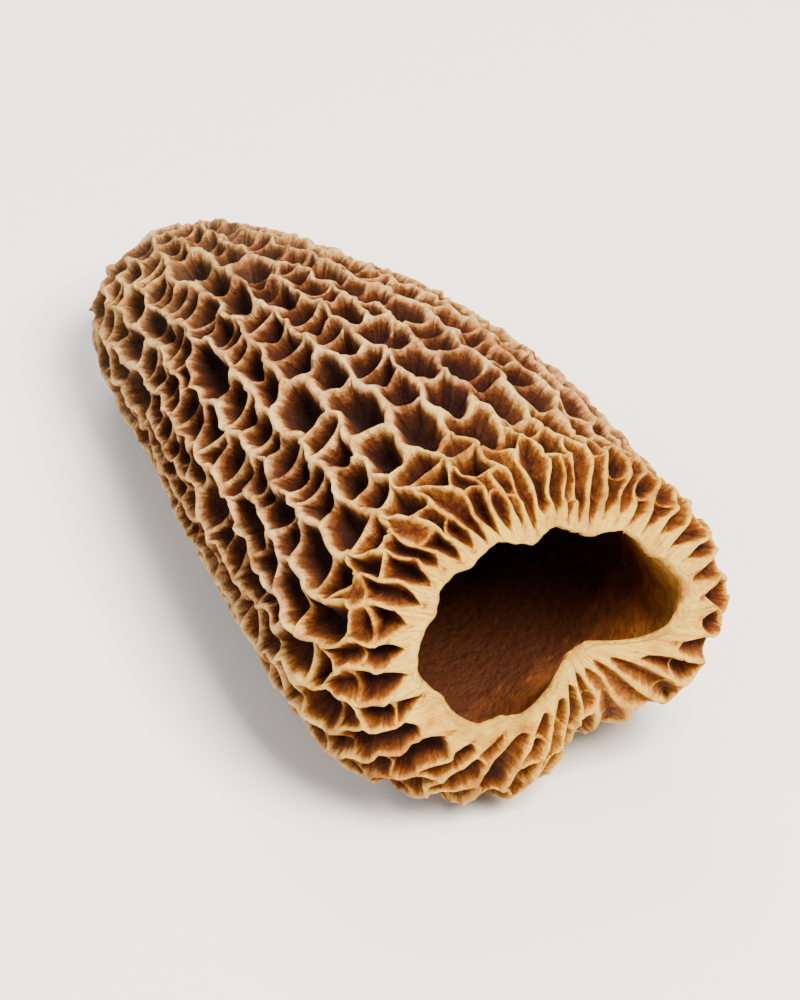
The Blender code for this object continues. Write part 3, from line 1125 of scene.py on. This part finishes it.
    def lay_down(self) -> None:
        """Tilts the cap onto its side, flattens the ribs it lies on and centres it in the CAD box."""
        turned = Matrix.Rotation(-self.form.lying_tilt, 3, "X")
        for point in self.skin.points:
            point.rotate(turned)
        low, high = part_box(CAD_NODE)
        lowest = min(self.skin.points[i].z for i in self.corner_points)
        ranges = [sorted(point[axis] for point in self.skin.points) for axis in (0, 1)]
        middle_x, middle_y = ((values[0] + values[-1]) / 2 for values in ranges)
        for point in self.skin.points:
            point.x = min(max(point.x - middle_x, low.x), high.x)
            point.y = min(max(point.y - middle_y, low.y), high.y)
            point.z = min(max(point.z - lowest - self.form.flat_depth, 0.0), high.z)

    def shifted_slot_end(self, corner: NetCorner) -> NetCorner:
        """Sinks the lower end of a slot and carries it unevenly toward the lip.

        Args:
            corner: The slot's end in the net.

        Returns:
            The corner in its new place.
        """
        folded = min(1.0, self.form.fold(corner.turn, MM) / (3 * MM))
        onward = self.pocket * self.rng.uniform(-0.1, 1.0)
        onward += self.right_pocket * eased(2.5 * math.cos(corner.turn) - 1.2)
        onward = min(onward * (1 - folded), self.form.reach - corner.s - self.least_band)
        drop = self.slot_end_drop * self.rng.uniform(0.4, 1.2)
        return replace(corner, s=corner.s + onward, rise=corner.rise - drop)

    def build(self) -> bpy.types.Object:
        """Builds the skin.

        Returns:
            The skin as one object.
        """
        self.measure_lining()
        for i, corner in enumerate(self.net.corners):
            rib = 1.0
            if i in self.net.slot_ends:
                corner = self.net.corners[i] = self.shifted_slot_end(corner)
                # A slot's sunken end is painted darker: painted shade.
                rib = self.slot_end_rib
            self.corner_points.append(self.crest(corner.turn, corner.s, corner.rise, rib))
        for k, corners in enumerate(self.net.pits):
            turn, s = self.net.seeds[k]
            folded = self.form.fold(turn, self.form.reach - s) / self.form.fold_depth
            is_slot = k >= self.net.free_seeds
            depth = self.slot_depth if is_slot else self.pit_depth * self.rng.uniform(0.75, 1.05)
            depth *= max(0.15, 1 - self.fold_shallow * folded)
            depth = min(depth, self.tip_depth_share * self.form.outline_at(s)[1] + self.tip_depth)
            for ring in self.split(self.ring_of(corners), is_slot):
                self.hollow_out(ring, depth, 0.7 * k)
        self.band_and_lining()
        self.lay_down()
        return self.as_object()

    def as_object(self) -> bpy.types.Object:
        """Makes a smooth-shaded object of the skin, with its paint values as attributes.

        Returns:
            The object.
        """
        skin = self.skin
        mesh = bpy.data.meshes.new("morel_cap_skin")
        mesh.from_pydata(skin.points, [], skin.faces)
        paint = {"rib": skin.ribs, "mouth": skin.mouths, "lining": skin.linings, "tip": skin.tips}
        for name, values in paint.items():
            layer = mesh.attributes.new(name, "FLOAT", "POINT")
            layer.data.foreach_set("value", values)
        layer = mesh.attributes.new("root", "FLOAT_VECTOR", "POINT")
        layer.data.foreach_set("vector", [c for root in skin.roots for c in root])
        mesh.shade_smooth()
        mesh.validate()
        cap = bpy.data.objects.new("morel_cap_skin", mesh)
        bpy.context.scene.collection.objects.link(cap)
        return cap


class Kind(Enum):
    """Shader nodes that the flesh is made with."""

    ATTRIBUTE = "ShaderNodeAttribute"
    BUMP = "ShaderNodeBump"
    COORDINATES = "ShaderNodeTexCoord"
    MATH = "ShaderNodeMath"
    MIX = "ShaderNodeMix"
    NOISE = "ShaderNodeTexNoise"
    RAMP = "ShaderNodeValToRGB"


def add_node(
    tree: bpy.types.NodeTree,
    kind: Kind,
    output: str | int,
    inputs: dict | None = None,
    stops: tuple[tuple[float, str], ...] = (),
    **settings: object,
) -> bpy.types.NodeSocket:
    """Adds a shader node with its settings and links.

    Args:
        tree: Node tree of the material.
        kind: Which node.
        output: Name or number of the output that is wanted.
        inputs: Its sockets by name or number, each a value or another node's output.
        stops: Places and sRGB colours of a colour ramp.
        settings: Its properties by name.

    Returns:
        That output.
    """
    node = tree.nodes.new(kind.value)
    for name, value in settings.items():
        setattr(node, name, value)
    for name, value in (inputs or {}).items():
        if isinstance(value, bpy.types.NodeSocket):
            tree.links.new(value, node.inputs[name])
        else:
            node.inputs[name].default_value = value
    if stops:
        elements = node.color_ramp.elements
        while len(elements) < len(stops):
            elements.new(0.5)
        for element, (place, colour) in zip(elements, stops):
            element.position = place
            element.color = linear(colour)
    return node.outputs[output]


@dataclass(frozen=True)
class Swells:
    """Noise on the flesh, whose swells have a real width."""

    width_mm: float
    detail: float
    roughness: float = 0.55

    def sockets(self, where: bpy.types.NodeSocket) -> dict:
        """Inputs of the noise node. One unit of its pattern holds two swells."""
        scale = 1000 / self.width_mm / 2
        return {"Vector": where, "Scale": scale, "Detail": self.detail, "Roughness": self.roughness}


@dataclass(frozen=True)
class DriedFlesh:
    """Air-dried mushroom flesh, matt and finely rough, which scatters a little light inside.

    The crests of the ribs are pale and the floors of the pits almost black, with orange-brown walls
    between them. This is partly the dried flesh's own colour and partly painted light: painted shade
    that darkens the pits, and a painted highlight on the crests. Toward the mouth the flesh turns
    golden. Real grain is finer than a tenth of a millimetre, too fine to show, so it is drawn coarser.
    """

    # Colours by tone away from the mouth: the dark stops are partly painted shade in the pits, the pale
    # stops partly a painted highlight on the crests.
    outer: tuple[tuple[float, str], ...] = (
        (0.00, "#260B03"),
        (0.24, "#351406"),
        (0.46, "#50260C"),
        (0.62, "#7F4A20"),
        (0.75, "#C48F58"),
        (0.85, "#F8BF76"),
        (0.95, "#FFDC96"),
    )
    # Colours by tone near the mouth, with the same painted shade at the dark end and painted highlight
    # at the pale end.
    golden: tuple[tuple[float, str], ...] = (
        (0.00, "#2C1003"),
        (0.22, "#461B05"),
        (0.44, "#7C400E"),
        (0.62, "#AC6C1C"),
        (0.78, "#FFBC4A"),
        (0.95, "#FFD75C"),
    )
    inside: tuple[tuple[float, str], ...] = (
        (0.00, "#5A2F16"),
        (0.45, "#512812"),
        (0.78, "#A05A22"),
        (1.00, "#D8963E"),
    )
    tip_wash: str = "#A98B69"
    tip_strength: float = 0.28
    stain: str = "#B58654"
    stain_strength: float = 0.75
    speck: str = "#5A3214"
    speck_strength: float = 0.45
    rib_tone: float = 0.88
    floor_tone: float = 0.04
    roughness: float = 0.85
    bump_height: float = 0.75 * MM
    grain: Swells = Swells(0.26, 5.0, 0.75)
    speckle: Swells = Swells(0.8, 3.0)
    stains: Swells = Swells(1.7, 3.0, 0.6)
    blotch: Swells = Swells(6.0, 2.0)
    streak: Swells = Swells(0.30, 2.0)

    def build(self) -> bpy.types.Material:
        """Makes the material.

        Returns:
            The material.
        """
        material = bpy.data.materials.new("dried_morel_flesh")
        material.use_nodes = True
        tree = material.node_tree
        add = partial(add_node, tree)
        here = add(Kind.COORDINATES, "Object")
        # The streaks read the crest point above each place, so they run straight down a pit's walls.
        root = add(Kind.ATTRIBUTE, "Vector", attribute_name="root")
        streak = add(Kind.NOISE, "Fac", self.streak.sockets(root))
        grain, speckle, stains, blotch = (
            add(Kind.NOISE, "Fac", swells.sockets(here))
            for swells in (self.grain, self.speckle, self.stains, self.blotch)
        )
        rib, mouth, lining, tip = (
            add(Kind.ATTRIBUTE, "Fac", attribute_name=name)
            for name in ("rib", "mouth", "lining", "tip")
        )

        # The tone runs from 0 on a pit's floor to 1 on a crest, and the patterns sway it both ways. Its
        # dark floors are partly painted shade and its pale crests partly a painted highlight.
        sways = ((speckle, 0.44), (blotch, 0.24), (streak, 0.46), (grain, 0.55))
        start = self.floor_tone - 0.5 * sum(weight for _, weight in sways)
        tone = add(Kind.MATH, 0, {0: rib, 1: self.rib_tone, 2: start}, operation="MULTIPLY_ADD")
        for pattern, weight in sways:
            tone = add(Kind.MATH, 0, {0: pattern, 1: weight, 2: tone}, operation="MULTIPLY_ADD")
        outer = add(Kind.RAMP, "Color", {"Fac": tone}, self.outer)
        tip_share = add(Kind.MATH, 0, {0: tip, 1: self.tip_strength}, operation="MULTIPLY")
        outer = add(Kind.MIX, 2, {0: tip_share, 6: outer, 7: linear(self.tip_wash)}, data_type="RGBA")

        # The gold round the mouth ends in an uneven line.
        golden = add(Kind.RAMP, "Color", {"Fac": tone}, self.golden)
        near = add(Kind.MATH, 0, {0: mouth, 1: 0.45}, operation="SUBTRACT")
        inputs = {0: blotch, 1: 0.9, 2: near}
        gold = add(Kind.MATH, 0, inputs, operation="MULTIPLY_ADD", use_clamp=True)
        skin = add(Kind.MIX, 2, {0: gold, 6: outer, 7: golden}, data_type="RGBA")

        # Soft brown stains darken the flesh, and dark specks lie on it.
        spots = (
            (stains, 4.0, -1.8, self.stain_strength, self.stain, "MULTIPLY"),
            (grain, 8.0, -4.9, self.speck_strength, self.speck, "MIX"),
        )
        for pattern, steepness, offset, strength, colour, blend in spots:
            inputs = {0: pattern, 1: steepness, 2: offset}
            share = add(Kind.MATH, 0, inputs, operation="MULTIPLY_ADD", use_clamp=True)
            share = add(Kind.MATH, 0, {0: share, 1: strength}, operation="MULTIPLY")
            inputs = {0: share, 6: skin, 7: linear(colour)}
            skin = add(Kind.MIX, 2, inputs, data_type="RGBA", blend_type=blend)

        # The hollow is dark brown and brightens to gold at the mouth.
        near = add(Kind.MATH, 0, {0: mouth, 1: 0.25}, operation="SUBTRACT")
        near = add(Kind.MATH, 0, {0: speckle, 1: 0.5, 2: near}, operation="MULTIPLY_ADD")
        inside = add(Kind.RAMP, "Color", {"Fac": near}, self.inside)
        colour = add(Kind.MIX, 2, {0: lining, 6: skin, 7: inside}, data_type="RGBA")

        relief = add(Kind.MATH, 0, {0: grain, 1: 1.5, 2: speckle}, operation="MULTIPLY_ADD")
        relief = add(Kind.MATH, 0, {0: streak, 1: 1.3, 2: relief}, operation="MULTIPLY_ADD")
        inputs = {"Strength": 1.0, "Distance": self.bump_height, "Height": relief}
        normal = add(Kind.BUMP, "Normal", inputs)
        shader = tree.nodes["Principled BSDF"]
        tree.links.new(colour, shader.inputs["Base Color"])
        tree.links.new(normal, shader.inputs["Normal"])
        shader.inputs["Roughness"].default_value = self.roughness
        shader.inputs["Specular IOR Level"].default_value = 0.15
        shader.inputs["Subsurface Weight"].default_value = 0.05
        shader.inputs["Subsurface Radius"].default_value = (1.0, 0.45, 0.2)
        shader.inputs["Subsurface Scale"].default_value = 0.5 * MM
        return material


@dataclass(frozen=True)
class PaleFloor:
    """A floor of pale matt paint, which takes a soft shadow and has no gloss."""

    colour: str = "#E8E5DF"
    half_width: float = 1.5
    roughness: float = 0.7

    def build(self) -> bpy.types.Object:
        """Lays the floor at height 0.

        Returns:
            The floor.
        """
        bpy.ops.object.select_all(action="DESELECT")
        bpy.ops.mesh.primitive_plane_add(size=2 * self.half_width, location=(0, 0, 0))
        floor = bpy.context.object
        floor.name = "pale_floor"
        material = bpy.data.materials.new("pale_floor_paint")
        material.use_nodes = True
        shader = material.node_tree.nodes["Principled BSDF"]
        shader.inputs["Base Color"].default_value = linear(self.colour)
        shader.inputs["Roughness"].default_value = self.roughness
        floor.data.materials.append(material)
        return floor


@dataclass(frozen=True)
class SoftBox:
    """One soft light, aimed at the cap, with its angles in degrees."""

    name: str
    azimuth: float
    elevation: float
    distance: float
    width: float
    watts: float
    colour: str = "#FFFFFF"

    def build(self) -> bpy.types.Object:
        """Hangs the light.

        Returns:
            The light.
        """
        data = bpy.data.lights.new(self.name, "AREA")
        data.shape = "SQUARE"
        data.size = self.width
        data.energy = self.watts
        data.color = linear(self.colour)[:3]
        light = bpy.data.objects.new(self.name, data)
        back = direction(self.azimuth, self.elevation)
        light.location = back * self.distance
        light.rotation_euler = back.to_track_quat("Z", "Y").to_euler()
        bpy.context.scene.collection.objects.link(light)
        return light


@dataclass(frozen=True)
class Studio:
    """Floor, soft lights and the camera at the photograph's viewing angle, which is in degrees."""

    azimuth: float = -28.0
    elevation: float = 40.0
    lens_mm: float = 300.0
    distance: float = 0.545
    target: tuple[float, float, float] = (0.6 * MM, -6.5 * MM, 11.0 * MM)
    sky: str = "#F3F5F8"
    sky_strength: float = 0.6
    lights: tuple[SoftBox, ...] = (
        SoftBox("key_soft_box", 8.0, 56.0, 0.7, 0.28, 22.0, "#FFF3E2"),
        SoftBox("fill_soft_box", -95.0, 35.0, 0.8, 0.5, 3.8),
        SoftBox("back_soft_box", 160.0, 50.0, 0.8, 0.4, 4.8),
    )

    def build(self) -> None:
        """Lays the floor, hangs the lights and sets the camera."""
        PaleFloor().build()
        for light in self.lights:
            light.build()
        world = bpy.data.worlds.new("soft_sky")
        world.use_nodes = True
        background = world.node_tree.nodes["Background"]
        background.inputs["Color"].default_value = linear(self.sky)
        background.inputs["Strength"].default_value = self.sky_strength
        bpy.context.scene.world = world
        self.set_camera()

    def set_camera(self) -> bpy.types.Object:
        """Sets the camera with a long lens, looking down on the cap toward its mouth.

        Returns:
            The camera.
        """
        data = bpy.data.cameras.new("photo_camera")
        data.lens = self.lens_mm
        data.clip_start = 0.05
        camera = bpy.data.objects.new("photo_camera", data)
        back = direction(self.azimuth, self.elevation)
        camera.location = Vector(self.target) + back * self.distance
        camera.rotation_euler = back.to_track_quat("Z", "Y").to_euler()
        bpy.context.scene.collection.objects.link(camera)
        bpy.context.scene.camera = camera
        return camera


def main() -> None:
    """Builds the cap's finer skin, its finish, the floor, the lights and the camera."""
    logging.basicConfig(level=logging.INFO, format="%(name)s: %(message)s")
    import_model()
    Studio().build()
    form = CapForm()
    net = PitNet(form)
    LOG.info("net of %d pits and %d corners", len(net.pits), len(net.corners))
    cap = FineCap(form, net).build()
    cap.data.materials.append(DriedFlesh().build())
    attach(cap, "root")
    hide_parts(CAD_NODE)
    LOG.info("%s: %d faces", cap.name, len(cap.data.polygons))


if __name__ == "__main__":
    main()
